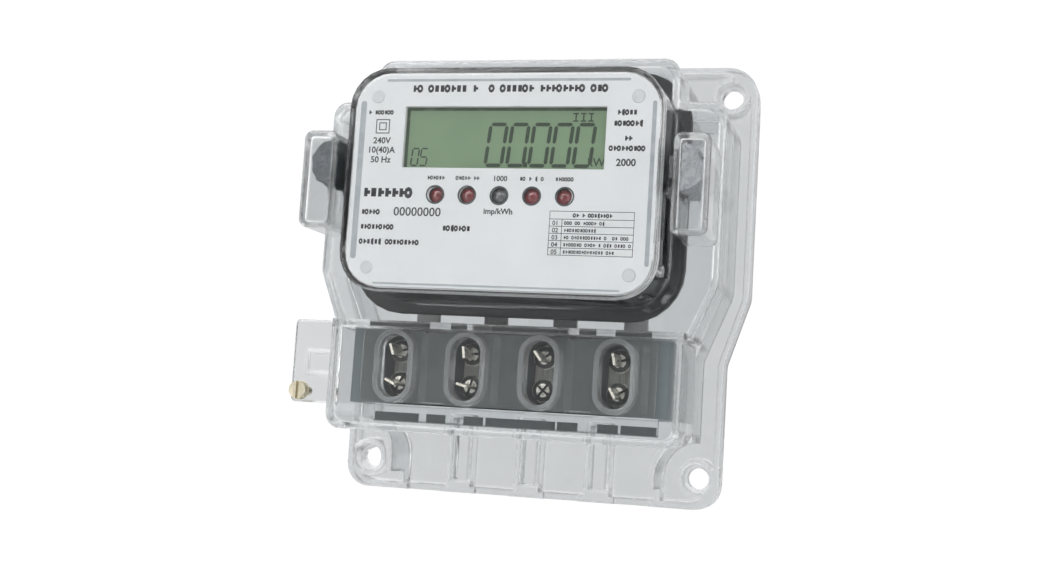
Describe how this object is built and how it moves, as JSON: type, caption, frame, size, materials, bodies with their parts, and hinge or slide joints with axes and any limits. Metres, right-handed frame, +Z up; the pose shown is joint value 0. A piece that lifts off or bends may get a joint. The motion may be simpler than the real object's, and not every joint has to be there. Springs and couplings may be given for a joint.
{
  "type": "electricity meter",
  "caption": "Wall-mounted single-phase energy meter in a clear moulded case, with a display, indicator lamps and screw terminals under a pull-off cover.",
  "frame": {"origin": "centre of the flat back face of the base plate, half way across and half way up", "axes": "+Y out of the back into the wall, +X to the right seen from the front, +Z up; the window faces -Y"},
  "size_m": [0.143, 0.065, 0.147],
  "materials": {
    "clear_polycarbonate": "clear moulded polycarbonate",
    "gasket_rubber": "satin black",
    "nickel_steel": "nickel plated, softly worn",
    "seal_compound": "rough grey",
    "charcoal_plastic": "fine matt",
    "nameplate_white": "printed satin white",
    "pin_plastic": "natural white",
    "white_plastic": "satin",
    "lcd_glass": "grey-green",
    "light_guide": "milky",
    "red_lamp": "tinted lens",
    "clear_lamp": "clear lens over a dark die",
    "circuit_board": "green solder mask",
    "black_epoxy": "moulded epoxy",
    "film_capacitor": "glossy box",
    "capacitor_sleeve": "shrunk sleeve",
    "varistor_coat": "dipped coating",
    "battery_steel": "drawn can",
    "tinned_copper": "tinned copper strip",
    "shunt_alloy": "alloy strip",
    "transformer_coat": "tape wrapped",
    "lead_sleeve": "soft sleeve",
    "slate_phenolic": "moulded, fine grain",
    "plated_brass": "nickel plated",
    "brass": "turned"
  },
  "bodies": {
    "root": {"base": "clear_polycarbonate", "main_cover": "clear_polycarbonate", "terminal_shield": "clear_polycarbonate", "cover_gasket": "gasket_rubber", "case_screws": "nickel_steel", "seal_plug_left": "seal_compound", "seal_plug_right": "seal_compound", "inner_case": "charcoal_plastic", "nameplate": "nameplate_white", "nameplate_pins": "pin_plastic", "lcd_frame": "white_plastic", "lcd_panel": "lcd_glass", "lcd_backlight": "light_guide", "lcd_pins": "nickel_steel", "tamper_lamps": "red_lamp", "pulse_lamp": "clear_lamp", "main_board": "circuit_board", "board_screws": "nickel_steel", "metering_chip": "black_epoxy", "supply_capacitor": "film_capacitor", "smoothing_capacitors": "capacitor_sleeve", "surge_arrester": "varistor_coat", "backup_battery": "battery_steel", "phase_in_bar": "tinned_copper", "phase_out_bar": "tinned_copper", "neutral_bar": "tinned_copper", "current_shunt": "shunt_alloy", "current_transformer": "transformer_coat", "sense_leads": "lead_sleeve", "terminal_block": "slate_phenolic", "terminal_barrel_1": "plated_brass", "terminal_barrel_2": "plated_brass", "terminal_barrel_3": "plated_brass", "terminal_barrel_4": "plated_brass"},
    "terminal_cover": {"terminal_cover": "clear_polycarbonate"},
    "seal_washer": {"seal_washer": "brass"},
    "seal_screw": {"seal_screw": "brass"},
    "seal_cap_left": {"seal_cap_left": "clear_polycarbonate"},
    "seal_cap_right": {"seal_cap_right": "clear_polycarbonate"},
    "clamp_foot_1_upper": {"clamp_foot_1_upper": "brass"},
    "terminal_screw_1_upper": {"terminal_screw_1_upper": "nickel_steel"},
    "clamp_foot_1_lower": {"clamp_foot_1_lower": "brass"},
    "terminal_screw_1_lower": {"terminal_screw_1_lower": "nickel_steel"},
    "clamp_foot_2_upper": {"clamp_foot_2_upper": "brass"},
    "terminal_screw_2_upper": {"terminal_screw_2_upper": "nickel_steel"},
    "clamp_foot_2_lower": {"clamp_foot_2_lower": "brass"},
    "terminal_screw_2_lower": {"terminal_screw_2_lower": "nickel_steel"},
    "clamp_foot_3_upper": {"clamp_foot_3_upper": "brass"},
    "terminal_screw_3_upper": {"terminal_screw_3_upper": "nickel_steel"},
    "clamp_foot_3_lower": {"clamp_foot_3_lower": "brass"},
    "terminal_screw_3_lower": {"terminal_screw_3_lower": "nickel_steel"},
    "clamp_foot_4_upper": {"clamp_foot_4_upper": "brass"},
    "terminal_screw_4_upper": {"terminal_screw_4_upper": "nickel_steel"},
    "clamp_foot_4_lower": {"clamp_foot_4_lower": "brass"},
    "terminal_screw_4_lower": {"terminal_screw_4_lower": "nickel_steel"}
  },
  "joints": [
    {"name": "terminal_cover_off", "type": "slide", "parent": "root", "child": "terminal_cover", "axis": [0, -1, 0], "range_m": [0, 0.06]},
    {"name": "seal_screw_lift", "type": "slide", "parent": "terminal_cover", "child": "seal_washer", "axis": [0, -1, 0], "range_m": [0, 0.003]},
    {"name": "seal_screw_turn", "type": "hinge", "parent": "seal_washer", "child": "seal_screw", "pos_m": [-0.0683, -0.045, -0.0428], "axis": [0, -1, 0], "range_deg": [0, 2160]},
    {"name": "seal_cap_left_off", "type": "slide", "parent": "root", "child": "seal_cap_left", "axis": [0, -1, 0], "range_m": [0, 0.03]},
    {"name": "seal_cap_right_off", "type": "slide", "parent": "root", "child": "seal_cap_right", "axis": [0, -1, 0], "range_m": [0, 0.03]},
    {"name": "terminal_1_upper_feed", "type": "slide", "parent": "root", "child": "clamp_foot_1_upper", "axis": [0, 1, 0], "range_m": [0, 0.0052]},
    {"name": "terminal_1_upper_turn", "type": "hinge", "parent": "clamp_foot_1_upper", "child": "terminal_screw_1_upper", "pos_m": [-0.036, -0.035, -0.02825], "axis": [0, 1, 0], "range_deg": [0, 2340]},
    {"name": "terminal_1_lower_feed", "type": "slide", "parent": "root", "child": "clamp_foot_1_lower", "axis": [0, 1, 0], "range_m": [0, 0.0052]},
    {"name": "terminal_1_lower_turn", "type": "hinge", "parent": "clamp_foot_1_lower", "child": "terminal_screw_1_lower", "pos_m": [-0.036, -0.035, -0.03855], "axis": [0, 1, 0], "range_deg": [0, 2340]},
    {"name": "terminal_2_upper_feed", "type": "slide", "parent": "root", "child": "clamp_foot_2_upper", "axis": [0, 1, 0], "range_m": [0, 0.0052]},
    {"name": "terminal_2_upper_turn", "type": "hinge", "parent": "clamp_foot_2_upper", "child": "terminal_screw_2_upper", "pos_m": [-0.012, -0.035, -0.02825], "axis": [0, 1, 0], "range_deg": [0, 2340]},
    {"name": "terminal_2_lower_feed", "type": "slide", "parent": "root", "child": "clamp_foot_2_lower", "axis": [0, 1, 0], "range_m": [0, 0.0052]},
    {"name": "terminal_2_lower_turn", "type": "hinge", "parent": "clamp_foot_2_lower", "child": "terminal_screw_2_lower", "pos_m": [-0.012, -0.035, -0.03855], "axis": [0, 1, 0], "range_deg": [0, 2340]},
    {"name": "terminal_3_upper_feed", "type": "slide", "parent": "root", "child": "clamp_foot_3_upper", "axis": [0, 1, 0], "range_m": [0, 0.0052]},
    {"name": "terminal_3_upper_turn", "type": "hinge", "parent": "clamp_foot_3_upper", "child": "terminal_screw_3_upper", "pos_m": [0.012, -0.035, -0.02825], "axis": [0, 1, 0], "range_deg": [0, 2340]},
    {"name": "terminal_3_lower_feed", "type": "slide", "parent": "root", "child": "clamp_foot_3_lower", "axis": [0, 1, 0], "range_m": [0, 0.0052]},
    {"name": "terminal_3_lower_turn", "type": "hinge", "parent": "clamp_foot_3_lower", "child": "terminal_screw_3_lower", "pos_m": [0.012, -0.035, -0.03855], "axis": [0, 1, 0], "range_deg": [0, 2340]},
    {"name": "terminal_4_upper_feed", "type": "slide", "parent": "root", "child": "clamp_foot_4_upper", "axis": [0, 1, 0], "range_m": [0, 0.0052]},
    {"name": "terminal_4_upper_turn", "type": "hinge", "parent": "clamp_foot_4_upper", "child": "terminal_screw_4_upper", "pos_m": [0.036, -0.035, -0.02825], "axis": [0, 1, 0], "range_deg": [0, 2340]},
    {"name": "terminal_4_lower_feed", "type": "slide", "parent": "root", "child": "clamp_foot_4_lower", "axis": [0, 1, 0], "range_m": [0, 0.0052]},
    {"name": "terminal_4_lower_turn", "type": "hinge", "parent": "clamp_foot_4_lower", "child": "terminal_screw_4_lower", "pos_m": [0.036, -0.035, -0.03855], "axis": [0, 1, 0], "range_deg": [0, 2340]}
  ],
  "couplings": [
    {"joint": "seal_screw_turn", "follows": "seal_screw_lift", "rad_per_m": 12566},
    {"joint": "terminal_1_upper_turn", "follows": "terminal_1_upper_feed", "rad_per_m": 7854},
    {"joint": "terminal_1_lower_turn", "follows": "terminal_1_lower_feed", "rad_per_m": 7854},
    {"joint": "terminal_2_upper_turn", "follows": "terminal_2_upper_feed", "rad_per_m": 7854},
    {"joint": "terminal_2_lower_turn", "follows": "terminal_2_lower_feed", "rad_per_m": 7854},
    {"joint": "terminal_3_upper_turn", "follows": "terminal_3_upper_feed", "rad_per_m": 7854},
    {"joint": "terminal_3_lower_turn", "follows": "terminal_3_lower_feed", "rad_per_m": 7854},
    {"joint": "terminal_4_upper_turn", "follows": "terminal_4_upper_feed", "rad_per_m": 7854},
    {"joint": "terminal_4_lower_turn", "follows": "terminal_4_lower_feed", "rad_per_m": 7854}
  ]
}
